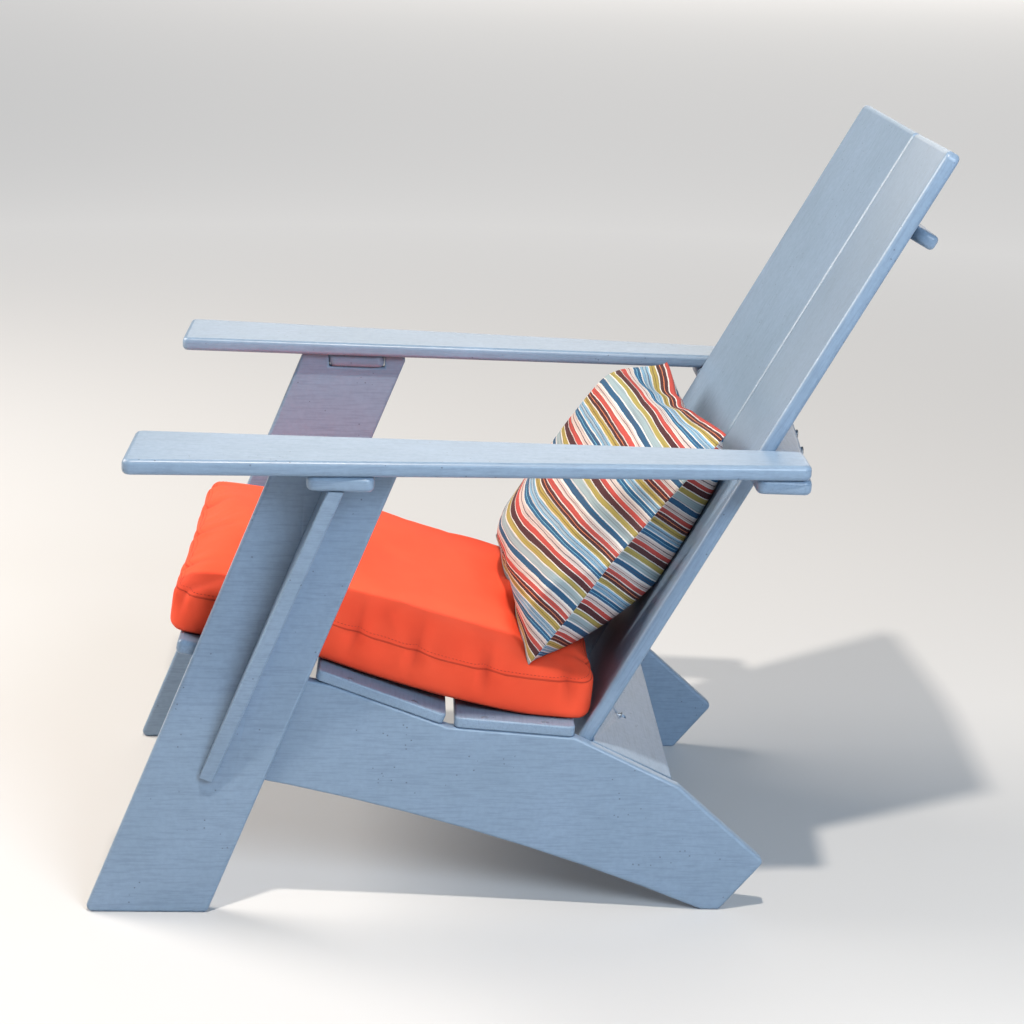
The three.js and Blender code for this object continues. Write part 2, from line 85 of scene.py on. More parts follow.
class Nodes:
    """A material's node tree, with short calls for the few node types used here."""

    def __init__(self, name):
        self.material = bpy.data.materials.new(name)
        self.material.use_nodes = True
        self.tree = self.material.node_tree
        self.shader = self.tree.nodes["Principled BSDF"]

    def feed(self, socket, value):
        """Link a socket to another node's output, or give it a value of its own."""
        if isinstance(value, bpy.types.NodeSocket):
            self.tree.links.new(value, socket)
        else:
            socket.default_value = value

    def add(self, kind, inputs=None, **settings):
        node = self.tree.nodes.new(kind)
        for key, value in settings.items():
            setattr(node, key, value)
        for key, value in (inputs or {}).items():
            self.feed(node.inputs[key], value)
        return node

    def math(self, operation, first, second=0.0):
        """Arithmetic on one or two numbers."""
        return self.add("ShaderNodeMath", {0: first, 1: second}, operation=operation).outputs[0]

    def noise(self, where, scale, detail, roughness):
        """Noise from 0 to 1: features per metre, octaves of detail, and their strength."""
        inputs = {"Vector": where, "Scale": scale, "Detail": detail, "Roughness": roughness}
        return self.add("ShaderNodeTexNoise", inputs).outputs["Fac"]

    def vector(self, operation, first, second):
        return self.add("ShaderNodeVectorMath", {0: first, 1: second}, operation=operation).outputs

    def scaled(self, where, factors):
        return self.vector("MULTIPLY", where, factors)[0]

    def remap(self, value, low, high, new_low=0.0, new_high=1.0):
        """Map low..high to new_low..new_high, and hold it there outside."""
        inputs = {"Value": value, "From Min": low, "From Max": high,
                  "To Min": new_low, "To Max": new_high}
        return self.add("ShaderNodeMapRange", inputs).outputs[0]

    def object_place(self):
        """Place on the piece, in metres."""
        return self.add("ShaderNodeTexCoord").outputs["Object"]

    def fabric_place(self):
        """Place on the flat fabric, in metres: both numbers together, then each."""
        uv = self.add("ShaderNodeUVMap", uv_map="fabric").outputs["UV"]
        parts = self.add("ShaderNodeSeparateXYZ", {0: uv}).outputs
        return uv, parts[0], parts[1]

    def stored(self, name):
        """A number stored on the mesh's vertices."""
        return self.add("ShaderNodeAttribute", attribute_name=name).outputs["Fac"]

    def ramp(self, value, stops, interpolation="LINEAR"):
        node = self.add("ShaderNodeValToRGB", {"Fac": value})
        node.color_ramp.interpolation = interpolation
        elements = node.color_ramp.elements
        while len(elements) < len(stops):
            elements.new(0.5)
        for element, (position, colour) in zip(elements, stops):
            element.position = position
            element.color = colour
        return node.outputs["Color"]

    def mix(self, factor, first, second):
        """Mix two colours, by the node's inputs and output for colours."""
        inputs = {0: factor, 6: first, 7: second}
        return self.add("ShaderNodeMix", inputs, data_type="RGBA").outputs[2]

    def bump(self, height, strength, distance, normal=None):
        inputs = {"Height": height, "Strength": strength, "Distance": distance}
        if normal is not None:
            inputs["Normal"] = normal
        return self.add("ShaderNodeBump", inputs).outputs["Normal"]

    def shade(self, **inputs):
        for key, value in inputs.items():
            self.feed(self.shader.inputs[key.replace("_", " ")], value)


# ---- Materials --------------------------------------------------------------------------

def grey(level):
    return (level, level, level, 1.0)


BACK_RAKE = (0.0, 0.4815, 0.8765)    # direction up the back boards
GRAIN_STRETCH = 0.94                 # share of the distance along the grain that is ignored


def make_lumber(name, grain_along):
    """Blue-grey plastic lumber: satin, cloudy, with streaks along the grain and dark flecks."""
    m = Nodes(name)
    where = m.object_place()
    clouds = m.noise(where, 9.0, 4.0, 0.6)
    mottle = m.noise(where, 160.0, 3.0, 0.65)
    base = m.ramp(clouds, [(0.3, srgb(124, 147, 171)), (0.7, srgb(131, 154, 180))])
    mottled = m.ramp(mottle, [(0.35, grey(0.0)), (0.75, grey(0.35))])
    coloured = m.mix(mottled, base, srgb(110, 130, 153))

    pits = m.add("ShaderNodeTexVoronoi", {"Vector": where, "Scale": 120.0}).outputs["Distance"]
    patches = m.math("GREATER_THAN", m.noise(where, 21.0, 2.0, 0.6), 0.56)
    pit_mask = m.math("MULTIPLY", m.math("LESS_THAN", pits, 0.12), patches)
    coloured = m.mix(m.math("MULTIPLY", pit_mask, 0.55), coloured, srgb(52, 62, 76))

    along = m.vector("DOT_PRODUCT", where, grain_along)["Value"]
    ignored = m.add("ShaderNodeVectorMath", operation="SCALE", inputs={
        0: grain_along, "Scale": m.math("MULTIPLY", along, GRAIN_STRETCH)}).outputs[0]
    fibres = m.vector("SUBTRACT", where, ignored)[0]
    streaks = m.noise(fibres, 420.0, 3.0, 0.7)
    coloured = m.mix(m.remap(streaks, 0.36, 0.52, 0.30, 0.0), coloured, srgb(96, 114, 138))

    grain = m.noise(where, 900.0, 2.0, 0.6)
    scratches = m.noise(fibres, 1000.0, 3.0, 0.7)
    height = m.math("ADD", m.math("MULTIPLY", grain, 0.6), m.math("MULTIPLY", scratches, 0.4))
    m.shade(Base_Color=coloured, Roughness=m.remap(mottle, 0.0, 1.0, 0.29, 0.40),
            Normal=m.bump(height, 0.10, 0.0004), IOR=1.5)
    return m.material


def make_steel():
    """Screw heads of plain stainless steel."""
    m = Nodes("stainless_steel")
    rub = m.noise(m.object_place(), 700.0, 3.0, 0.6)
    m.shade(Base_Color=m.ramp(rub, [(0.3, srgb(170, 172, 176)), (0.7, srgb(205, 207, 210))]),
            Metallic=1.0, Roughness=0.32, Normal=m.bump(rub, 0.1, 0.0002))
    return m.material


def make_coated_steel():
    """Screw heads coated to match the boards."""
    m = Nodes("coated_steel")
    rub = m.noise(m.object_place(), 500.0, 3.0, 0.6)
    m.shade(Base_Color=m.ramp(rub, [(0.35, srgb(120, 137, 158)), (0.7, srgb(129, 147, 169))]),
            Roughness=0.42, Normal=m.bump(rub, 0.1, 0.0002))
    return m.material


def make_weave(m, across, along, pitch):
    """Height of a plain weave from two fabric coordinates in metres."""
    turn = 2 * math.pi / pitch
    warp = m.math("SINE", m.math("MULTIPLY", across, turn))
    weft = m.math("SINE", m.math("MULTIPLY", along, turn))
    return m.math("MULTIPLY", warp, weft)


def make_orange_cloth():
    """Plain-woven cover, with painted shade between its threads, in the seam gutters and inside
    the puckers.
    """
    m = Nodes("orange_cloth")
    _, across, along = m.fabric_place()
    weave = make_weave(m, across, along, pitch=0.0011)
    where = m.object_place()
    clouds = m.noise(where, 14.0, 3.0, 0.6)
    base = m.ramp(clouds, [(0.3, srgb(252, 82, 51)), (0.7, srgb(255, 90, 57))])
    # Painted shade between the threads, where the weave dips.
    shade = m.mix(m.remap(weave, -1.0, 1.0, 0.12, 0.0), base, srgb(196, 52, 24))
    # Painted shade along the seam gutters; the same mask also sinks them in the bump.
    gutter = m.remap(m.stored("seam"), 0.72, 0.92)
    shade = m.mix(m.math("MULTIPLY", gutter, 0.46), shade, srgb(120, 22, 12))
    # Painted shade inside the puckers' folds.
    shade = m.mix(m.math("MULTIPLY", m.stored("fold"), 0.42), shade, srgb(150, 30, 16))
    normal = m.bump(m.noise(where, 55.0, 4.0, 0.55), 0.16, 0.004)
    normal = m.bump(m.math("SUBTRACT", 1.0, gutter), 0.5, 0.0015, normal)
    m.shade(Base_Color=shade, Roughness=0.85, Normal=m.bump(weave, 0.25, 0.0003, normal),
            Sheen_Weight=0.12, Sheen_Roughness=0.4, Sheen_Tint=srgb(255, 170, 140),
            Specular_IOR_Level=0.3)
    return m.material


def make_thread():
    """The cushion's stitches, a little darker than its cover."""
    m = Nodes("orange_thread")
    fibres = m.noise(m.object_place(), 2400.0, 2.0, 0.6)
    m.shade(Base_Color=m.ramp(fibres, [(0.3, srgb(176, 44, 24)), (0.7, srgb(204, 60, 34))]),
            Roughness=0.7, Normal=m.bump(fibres, 0.3, 0.0002))
    return m.material


STRIPE_REPEAT = 0.047
WHITE = (224, 224, 222)
# Two bands of stripes that take turns: each stripe's share of its band, and its colour.
STRIPES = [
    [(0.140, (0, 82, 124)), (0.030, WHITE), (0.180, (150, 172, 180)), (0.030, WHITE),
     (0.125, (166, 152, 76)), (0.025, WHITE), (0.145, (66, 10, 24)), (0.020, WHITE),
     (0.115, (190, 66, 58)), (0.020, WHITE), (0.060, (206, 190, 186)), (0.018, (84, 68, 82)),
     (0.062, (208, 194, 190)), (0.030, WHITE)],
    [(0.055, (0, 92, 138)), (0.014, (120, 190, 224)), (0.071, (0, 84, 126)), (0.026, WHITE),
     (0.050, (126, 176, 208)), (0.014, (74, 92, 122)), (0.046, (158, 184, 200)),
     (0.014, (74, 92, 122)), (0.050, (126, 176, 208)), (0.030, WHITE), (0.054, (170, 152, 74)),
     (0.014, (112, 92, 40)), (0.056, (170, 152, 74)), (0.025, WHITE), (0.066, (62, 8, 16)),
     (0.014, (222, 130, 84)), (0.066, (66, 10, 24)), (0.024, WHITE), (0.120, (192, 70, 62)),
     (0.024, WHITE), (0.050, (206, 192, 188)), (0.016, (104, 54, 64)), (0.051, (206, 192, 188)),
     (0.050, WHITE)],
]


def make_striped_cloth():
    """Woven stripes across the pillow, read from the fabric coordinates' second number."""
    m = Nodes("striped_cloth")
    uv, across, along = m.fabric_place()
    waver = m.noise(m.scaled(uv, (16.0, 70.0, 0.0)), 1.0, 2.0, 0.5)
    ragged = m.noise(m.scaled(uv, (900.0, 260.0, 0.0)), 1.0, 1.0, 0.5)
    moved = along
    for wander, size in ((waver, 0.0036), (ragged, 0.0010)):
        moved = m.math("ADD", moved, m.math("MULTIPLY", m.math("SUBTRACT", wander, 0.5), size))
    # The count starts from 20, so that it is above zero all over the fabric.
    repeats = m.math("ADD", m.math("DIVIDE", moved, STRIPE_REPEAT), 20.0)
    phase = m.math("FRACT", repeats)
    ramps = []
    for pattern in STRIPES:
        edges = np.cumsum([0.0] + [width for width, _ in pattern[:-1]])
        stops = [(edge, srgb(*colour)) for edge, (_, colour) in zip(edges, pattern)]
        ramps.append(m.ramp(phase, stops, "CONSTANT"))
    alternate = m.math("GREATER_THAN", m.math("FRACT", m.math("DIVIDE", repeats, 2.0)), 0.5)
    colour = m.mix(alternate, *ramps)

    # Thin dark lines, the shadow between threads, and wear on top of them.
    weave = make_weave(m, across, along, pitch=0.0012)
    lines = m.noise(m.scaled(uv, (7.0, 520.0, 0.0)), 1.0, 2.0, 0.6)
    colour = m.mix(m.remap(lines, 0.36, 0.50, 0.42, 0.0), colour, srgb(70, 52, 58))
    colour = m.mix(m.remap(weave, -1.0, 1.0, 0.26, 0.0), colour, (0.05, 0.045, 0.05, 1))
    threads = m.noise(m.scaled(uv, (160.0, 1400.0, 0.0)), 1.0, 2.0, 0.6)
    colour = m.mix(m.remap(threads, 0.0, 1.0, 0.0, 0.05), colour, srgb(238, 232, 226))
    creases = m.noise(m.object_place(), 45.0, 4.0, 0.55)
    m.shade(Base_Color=colour, Roughness=0.9, Specular_IOR_Level=0.2,
            Normal=m.bump(weave, 0.3, 0.0003, m.bump(creases, 0.1, 0.004)))
    return m.material


lumber = make_lumber("plastic_lumber", (0.0, 1.0, 0.0))
cross_lumber = make_lumber("plastic_lumber_across", (1.0, 0.0, 0.0))
back_lumber = make_lumber("plastic_lumber_back", BACK_RAKE)
steel = make_steel()
coated_steel = make_coated_steel()
orange_cloth = make_orange_cloth()
orange_thread = make_thread()
striped_cloth = make_striped_cloth()


# ---- Boards and screws ------------------------------------------------------------------

def dress(node, material):
    """Give a CAD piece its material and smooth roundings, leaving its flat faces flat."""
    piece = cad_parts[node]
    piece.data.materials.clear()
    piece.data.materials.append(material)
    shade_smooth(piece.data)
    if "custom_normal" in piece.data.attributes:
        piece.data.attributes.remove(piece.data.attributes["custom_normal"])
    weld = piece.modifiers.new("weld", "WELD")
    weld.merge_threshold = 0.00002
    normals = piece.modifiers.new("normals", "WEIGHTED_NORMAL")
    normals.weight = 100
    normals.keep_sharp = True


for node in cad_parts:
    if "slat_screw" in node:
        dress(node, coated_steel)
    elif "screw" in node:
        dress(node, steel)
    elif "back_board" in node:
        dress(node, back_lumber)
    elif node.endswith("slat") or node in ("rear_stretcher", "arm_crosspiece", "top_batten"):
        dress(node, cross_lumber)
    elif node not in ("seat_cushion", "striped_pillow"):
        dress(node, lumber)


# ---- Soft goods: shared steps -----------------------------------------------------------

def settle(piece, pressure, frames, bending):
    """Blow up a sewn cloth shell until it stops moving, and keep the result as its mesh."""
    modifier = piece.modifiers.new("cloth", "CLOTH")
    cloth = modifier.settings
    cloth.quality = 6
    cloth.mass = 0.25
    cloth.tension_stiffness = 30
    cloth.compression_stiffness = 12
    cloth.shear_stiffness = 12
    cloth.bending_stiffness = bending
    cloth.tension_damping = 12
    cloth.compression_damping = 12
    cloth.air_damping = 3
    cloth.use_pressure = True
    cloth.uniform_pressure_force = pressure
    cloth.effector_weights.gravity = 0
    modifier.point_cache.frame_end = frames
    for step in range(1, frames + 1):
        scene.frame_set(step)
    settled = piece.evaluated_get(bpy.context.evaluated_depsgraph_get())
    set_points(piece.data, get_points(settled.data))
    piece.modifiers.remove(modifier)
    scene.frame_set(1)


def write_uvs(mesh, corner_uvs):
    """Fabric coordinates, in metres, one pair for each corner of each face."""
    layer = mesh.uv_layers.new(name="fabric")
    layer.data.foreach_set("uv", np.asarray(corner_uvs, np.float32).ravel())


def crease_loops(mesh, loops, amount):
    """Keep the edges between neighbours of closed vertex loops sharp under subdivision."""
    wanted = set()
    for loop in loops:
        for k, vertex in enumerate(loop):
            wanted.add(frozenset((int(vertex), int(loop[k - 1]))))
    crease = mesh.attributes.new("crease_edge", "FLOAT", "EDGE")
    for edge in mesh.edges:
        if frozenset(edge.vertices) in wanted:
            crease.data[edge.index].value = amount


def smooth_step(value, low, high):
    """Rise from 0 at low to 1 at high, level at both ends."""
    t = np.clip((value - low) / (high - low), 0, 1)
    return t * t * (3 - 2 * t)


def edge_pairs(mesh):
    """The two vertices of each edge."""
    pairs = np.empty(len(mesh.edges) * 2, np.int32)
    mesh.edges.foreach_get("vertices", pairs)
    return pairs.reshape(-1, 2)


def neighbour_mean(values, pairs):
    """Mean of the values at each vertex's neighbours."""
    total = np.zeros_like(values)
    np.add.at(total, pairs[:, 0], values[pairs[:, 1]])
    np.add.at(total, pairs[:, 1], values[pairs[:, 0]])
    return (total.T / np.bincount(pairs.ravel(), minlength=len(values))).T


def spread(values, pairs, rounds):
    """Let per-vertex values run out into their surroundings."""
    for _ in range(rounds):
        values = np.maximum(values, neighbour_mean(values, pairs))
    return values


def relax(values, pairs, rounds):
    """Move per-vertex values halfway to the mean of their neighbours', again and again."""
    for _ in range(rounds):
        values = (values + neighbour_mean(values, pairs)) / 2
    return values


def write_attribute(mesh, name, values):
    """Store one number for each vertex, for a material to read."""
    stored = mesh.attributes.new(name, "FLOAT", "POINT")
    stored.data.foreach_set("value", np.asarray(values, np.float32))


def finish_soft(piece, material, body, node):
    """Dress a soft piece, and put it on its body in place of its CAD node."""
    piece.data.materials.append(material)
    shade_smooth(piece.data)
    level = piece.modifiers.new("smooth", "SUBSURF")
    level.levels = level.render_levels = 1
    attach(piece, body)
    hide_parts(node)


def surface_of(piece):
    """Search tree over a piece as it is shown."""
    shown = piece.evaluated_get(bpy.context.evaluated_depsgraph_get()).data
    return BVHTree.FromPolygons([v.co for v in shown.vertices],
                                [tuple(f.vertices) for f in shown.polygons])


CELL = 0.0065    # size of a cloth cell in both shells


def panel_grid(width, length):
    """Plan places of a flat panel's vertices, and their numbers by row and column."""
    columns, rows = round(width / CELL), round(length / CELL)
    xs, ys = np.meshgrid(np.linspace(-0.5, 0.5, columns + 1) * width,
                         np.linspace(-0.5, 0.5, rows + 1) * length)
    plan = np.column_stack([xs.ravel(), ys.ravel()])
    return plan, np.arange(len(plan)).reshape(rows + 1, columns + 1)


def rim_of(grid):
    """A grid's outer vertices, in order round it."""
    return np.concatenate([grid[0, :-1], grid[:-1, -1], grid[-1, :0:-1], grid[:0:-1, 0]])


def cells_of(grid):
    """Row and column of each cell's first corner."""
    return np.ndindex(grid.shape[0] - 1, grid.shape[1] - 1)


# ---- Striped pillow ---------------------------------------------------------------------

PILLOW_FABRIC = (0.430, 0.355)
# Near bottom, near top, far top and far bottom corner.
PILLOW_CORNERS = [(0.205, 0.0180, 0.2715), (0.170, 0.2275, 0.529),
                  (-0.170, 0.197, 0.531), (-0.200, -0.004, 0.298)]
FRONT_SWELL = 0.066
BACK_SWELL = 0.092
BACK_PANEL_SHIFT = 0.42 * STRIPE_REPEAT
# Share of each edge's inward bow that is taken out.
STRAIGHTENING = {"sides": 0.6, "bottom": 0.95, "top": 0.66}
TOP_FULLNESS = 0.6                   # extra swell near the far top corner
PLAN_RELAXING = 30                   # rounds of smoothing, in the panels' plane
SWELL_RELAXING = 3                   # rounds of smoothing, out of that plane
SHELL_SWELL = 0.004                  # half thickness that the simulation starts from
SHELL_EDGE = 0.05                    # distance from the edge over which it rises to that
BOARD_CLEARANCE = 0.001


def build_pillow_shell(name):
    """Two flat panels sewn together round their edge."""
    plan, front = panel_grid(*PILLOW_FABRIC)
    back = front.copy()
    inside = back[1:-1, 1:-1]
    inside[:] = len(plan) + np.arange(inside.size).reshape(inside.shape)
    edge = np.minimum(PILLOW_FABRIC[0] / 2 - np.abs(plan[:, 0]),
                      PILLOW_FABRIC[1] / 2 - np.abs(plan[:, 1]))
    swell = SHELL_SWELL * smooth_step(edge, 0, SHELL_EDGE)
    points = np.column_stack([plan, swell])
    back_points = np.column_stack([plan, -swell])[front[1:-1, 1:-1].ravel()]
    faces = []
    uvs = []
    for r, c in cells_of(front):
        for grid, turn, shift in ((front, 1, 0.0), (back, -1, BACK_PANEL_SHIFT)):
            corners = [(r, c), (r, c + 1), (r + 1, c + 1), (r + 1, c)][::turn]
            faces.append([int(grid[corner]) for corner in corners])
            uvs += [plan[front[corner]] + (0.0, shift) for corner in corners]
    piece = new_mesh(name, np.concatenate([points, back_points]), faces)
    write_uvs(piece.data, uvs)
    return piece, front


def straighten(value, across, low_edge, high_edge, low_share, high_share):
    """Stretch a coordinate so that its drawn-in low and high edges lie nearer to 0 and 1."""
    bow = np.sin(np.pi * np.clip(across, 0, 1)) ** 2
    middle = slice(len(low_edge) // 3, -len(low_edge) // 3)
    low = bow * low_share * np.median(low_edge[middle])
    high = 1 - bow * high_share * (1 - np.median(high_edge[middle]))
    return (value - low) / (high - low)


def press_on_boards(points, direction):
    """Flatten the pillow where it meets the two back boards."""
    run_up = 0.3
    for node in ("left_back_board", "right_back_board"):
        board = surface_of(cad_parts[node])
        for k, point in enumerate(points):
            start = Vector(point - run_up * direction)
            hit, _, _, distance = board.ray_cast(start, Vector(direction))
            if hit is not None and distance < run_up + BOARD_CLEARANCE:
                points[k] = hit - Vector(direction) * BOARD_CLEARANCE
    return points


def make_pillow():
    """Blow the pillow up flat, then stretch it between its four corners in the seat."""
    piece, front = build_pillow_shell("pillow_cover")
    flat = get_points(piece.data)
    settle(piece, pressure=4.5, frames=40, bending=1.6)
    moved = get_points(piece.data) - flat
    pairs = edge_pairs(piece.data)
    p = flat + np.column_stack([relax(moved[:, :2], pairs, PLAN_RELAXING),
                                relax(moved[:, 2:], pairs, SWELL_RELAXING)])
    corners = [front[0, -1], front[-1, -1], front[-1, 0], front[0, 0]]
    half = np.abs(p[corners, :2]).mean(0)
    across, up = ((p[:, :2] / half + 1) / 2).T
    share = STRAIGHTENING
    u = straighten(across, up, across[front[:, 0]], across[front[:, -1]],
                   share["sides"], share["sides"])
    v = straighten(up, across, up[front[0]], up[front[-1]], share["bottom"], share["top"])
    target = np.array(PILLOW_CORNERS)
    low = target[3] + (target[0] - target[3]) * u[:, None]
    high = target[2] + (target[1] - target[2]) * u[:, None]
    normal = np.cross(target[0] - target[2], target[1] - target[3])
    normal /= np.linalg.norm(normal)
    z = p[:, 2]
    swell = np.where(z > 0, z / z.max() * FRONT_SWELL, -z / z.min() * BACK_SWELL)
    far_top = np.exp(-((u - 0.10) / 0.35) ** 2 - ((v - 0.90) / 0.30) ** 2)
    swell *= 1 + TOP_FULLNESS * far_top
    points = low + (high - low) * v[:, None] + normal * swell[:, None]
    set_points(piece.data, press_on_boards(points, -normal))
    crease_loops(piece.data, [rim_of(front)], amount=0.8)
    finish_soft(piece, striped_cloth, "pillow", "striped_pillow")
    return piece


# ---- Seat cushion -----------------------------------------------------------------------

CUSHION_WIDTH = 0.446
CUSHION_LENGTH = 0.474
BOXING = 0.045                       # height of the strip between the two panels
PLAN_CORNER = 0.026
CROWN = 0.030                        # rise of the top panel above its seam
CROWN_POWER = 1.25                   # above 1, the crown is more peaked than simulated
SOFTNESS = 0.40                      # share of the simulated sideways bulge that is kept
# The cushion's underside, front to rear, as places along y and heights.
SEAT_LINE = [(-0.372, 0.3135), (-0.2136, 0.2840), (-0.1526, 0.2625), (-0.0796, 0.2400),
             (-0.0106, 0.2250), (0.0204, 0.2200), (0.0724, 0.2160), (0.1030, 0.2140)]
SEAT_OVERRUN = 0.03                  # run of the seat curve beyond both of its ends
SEAT_BLUR = 15                       # points on each side that round the curve's bends
SEAT_GAP = 0.0006
PILLOW_GAP = 0.0012
REAR_FLARE = 0.003                   # how much wider each side gets towards the rear
PRESS_SPREAD = 5                     # cells that the pillow's hollow runs out over
SEAM_DEPTH = 0.0022
RIPPLE = 0.0022
RIPPLE_SCALE = (9, 16, 30)           # ripples per metre across, along and up

# Puckers near the photograph's, along the near side from the cushion's middle.
PUCKERS = [-0.0442, 0.0310, 0.1134, 0.2082]
OTHER_PUCKERS_EVERY = 17             # seam vertices between the puckers elsewhere
OTHER_PUCKERS_STRAY = 4              # and how many vertices off that each may be
FOLD_DEPTH = 0.0065
HOLLOW_WIDTH = 0.007                 # a pucker's hollow, and how far it runs from the seam
HOLLOW_REACH = 0.026
RIDGE_SHARE = 0.35                   # the ridge on each side of it
RIDGE_OFFSET = 0.017
RIDGE_WIDTH = 0.010
RIDGE_REACH = 0.030

STITCH_PITCH = 0.0042
STITCH_LENGTH = 0.0028
STITCH_INSET = 0.0045
STITCH_RADIUS = 0.00035
STITCH_LIFT = 0.0001
STITCH_SEARCH = 0.003                # height above the seam to look for the cover from


def round_plan(points):
    """Round the four corners of a rectangle's grid points."""
    half = np.array([CUSHION_WIDTH, CUSHION_LENGTH]) / 2
    q = np.clip(np.abs(points) - (half - PLAN_CORNER), 0, None) / PLAN_CORNER
    arc = q * np.sqrt(1 - q[:, ::-1] ** 2 / 2) * PLAN_CORNER
    inner = np.minimum(np.abs(points), half - PLAN_CORNER)
    return np.sign(points) * (inner + arc)


def build_box_shell(name):
    """A flat box cushion: top and bottom panels joined by a boxing strip, as one closed mesh."""
    plan, grid = panel_grid(CUSHION_WIDTH, CUSHION_LENGTH)
    plan = round_plan(plan)
    rim = rim_of(grid)
    bands = round(BOXING / CELL)
    count = len(plan)
    layers = [rim]
    points = [np.column_stack([plan, np.zeros(count)]),
              np.column_stack([plan, np.full(count, BOXING)])]
    for band in range(1, bands):
        layers.append(2 * count + (band - 1) * len(rim) + np.arange(len(rim)))
        points.append(np.column_stack([plan[rim], np.full(len(rim), BOXING * band / bands)]))
    layers.append(count + rim)
    faces = []
    uvs = []
    for r, c in cells_of(grid):
        quad = [grid[r, c], grid[r, c + 1], grid[r + 1, c + 1], grid[r + 1, c]]
        faces.append([count + k for k in quad])
        faces.append(quad[::-1])
        uvs += [plan[k] for k in quad] + [plan[k] for k in quad[::-1]]
    for band in range(bands):
        low, high = layers[band], layers[band + 1]
        bottom, top = BOXING * band / bands, BOXING * (band + 1) / bands
        for k in range(len(rim)):
            n = (k + 1) % len(rim)
            faces.append([low[k], low[n], high[n], high[k]])
            start, end = k * CELL, (k + 1) * CELL
            uvs += [(start, bottom), (end, bottom), (end, top), (start, top)]
    piece = new_mesh(name, np.concatenate(points), [[int(k) for k in face] for face in faces])
    write_uvs(piece.data, uvs)
    return piece, layers[0], layers[-1]


def seat_curve(length):
    """Points and upward normals of the cushion's underside at distances along the seat."""
    knots = np.array(SEAT_LINE)
    steps = np.linalg.norm(np.diff(knots, axis=0), axis=1)
    stations = np.concatenate([[0], np.cumsum(steps)])
    fine = np.linspace(-SEAT_OVERRUN, stations[-1] + SEAT_OVERRUN, 400)
    line = np.column_stack([np.interp(fine, stations, knots[:, k]) for k in (0, 1)])
    first = (knots[1] - knots[0]) / steps[0]
    last = (knots[-1] - knots[-2]) / steps[-1]
    before = fine < 0
    after = fine > stations[-1]
    line[before] = knots[0] + first * fine[before][:, None]
    line[after] = knots[-1] + last * (fine[after] - stations[-1])[:, None]
    kernel = np.hanning(2 * SEAT_BLUR + 1)
    kernel /= kernel.sum()
    padded = np.pad(line, ((SEAT_BLUR, SEAT_BLUR), (0, 0)), mode="reflect", reflect_type="odd")
    smooth = np.column_stack([np.convolve(padded[:, k], kernel, "valid") for k in (0, 1)])
    slope = np.gradient(smooth, fine, axis=0)
    slope /= np.linalg.norm(slope, axis=1)[:, None]
    place = np.column_stack([np.interp(length, fine, smooth[:, k]) for k in (0, 1)])
    along = np.column_stack([np.interp(length, fine, slope[:, k]) for k in (0, 1)])
    normal = np.column_stack([-along[:, 1], along[:, 0]])
    return place, normal


def pucker_depth(points, seam_points, places):
    """Depth of the short folds that stand square to a seam at a few places along it."""
    depth = np.zeros(len(points))
    for k in places:
        centre = seam_points[k]
        along = seam_points[(k + 2) % len(seam_points)] - seam_points[k - 2]
        along /= np.linalg.norm(along)
        offset = points - centre
        beside = offset @ along
        away = np.linalg.norm(offset - beside[:, None] * along, axis=1)
        hollow = np.exp(-(beside / HOLLOW_WIDTH) ** 2) * np.exp(-away / HOLLOW_REACH)
        ridges = (np.exp(-((np.abs(beside) - RIDGE_OFFSET) / RIDGE_WIDTH) ** 2)
                  * np.exp(-away / RIDGE_REACH))
        depth += hollow - RIDGE_SHARE * ridges
    return depth


def stitch_shell(sides=6, bands=4):
    """Corners and faces of a small sphere, in an order that never changes."""
    angles = [math.pi / 2 + 2 * math.pi * k / sides for k in range(sides)]
    slopes = [math.pi * k / bands for k in range(1, bands)]
    corners = [Vector((math.sin(slope) * math.cos(angle), math.sin(slope) * math.sin(angle),
                       math.cos(slope))) for slope in slopes for angle in angles]
    top, bottom = len(corners), len(corners) + 1
    corners += [Vector((0, 0, 1)), Vector((0, 0, -1))]
    faces = []
    for k in range(sides):
        n = (k + 1) % sides
        last = (bands - 2) * sides
        faces.append([top, k, n])
        for ring in range(0, last, sides):
            faces.append([ring + k, ring + sides + k, ring + sides + n, ring + n])
        faces.append([bottom, last + n, last + k])
    return corners, faces


def make_stitches(cushion, seam_points, outward):
    """Short thread stitches on the top panel, just inside its seam."""
    surface = surface_of(cushion)
    loop = np.concatenate([seam_points, seam_points[:1]])
    outward = np.concatenate([outward, outward[:1]])
    lengths = np.concatenate([[0], np.cumsum(np.linalg.norm(np.diff(loop, axis=0), axis=1))])
    shell, shell_faces = stitch_shell()
    vertices = []
    faces = []
    for start in np.arange(0, lengths[-1] - 0.003, STITCH_PITCH):
        ends = []
        for station in (start, start + STITCH_LENGTH):
            spot = Vector([np.interp(station, lengths, loop[:, k]) for k in range(3)])
            inset = Vector([np.interp(station, lengths, outward[:, k]) for k in range(3)])
            above = spot - inset * STITCH_INSET + Vector((0, 0, STITCH_SEARCH))
            near, normal, _, _ = surface.find_nearest(above)
            ends.append(near + normal * STITCH_LIFT)
        axis = ends[1] - ends[0]
        turn = axis.to_track_quat("Z", "Y").to_matrix().to_4x4()
        where = Matrix.Translation((ends[0] + ends[1]) / 2) @ turn
        size = Matrix.Diagonal((STITCH_RADIUS, STITCH_RADIUS, axis.length / 2, 1))
        faces += [[len(vertices) + k for k in face] for face in shell_faces]
        vertices += [where @ size @ corner for corner in shell]
    thread = new_mesh("cushion_stitching", vertices, faces)
    thread.data.materials.append(orange_thread)
    shade_smooth(thread.data)
    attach(thread, "cushion")


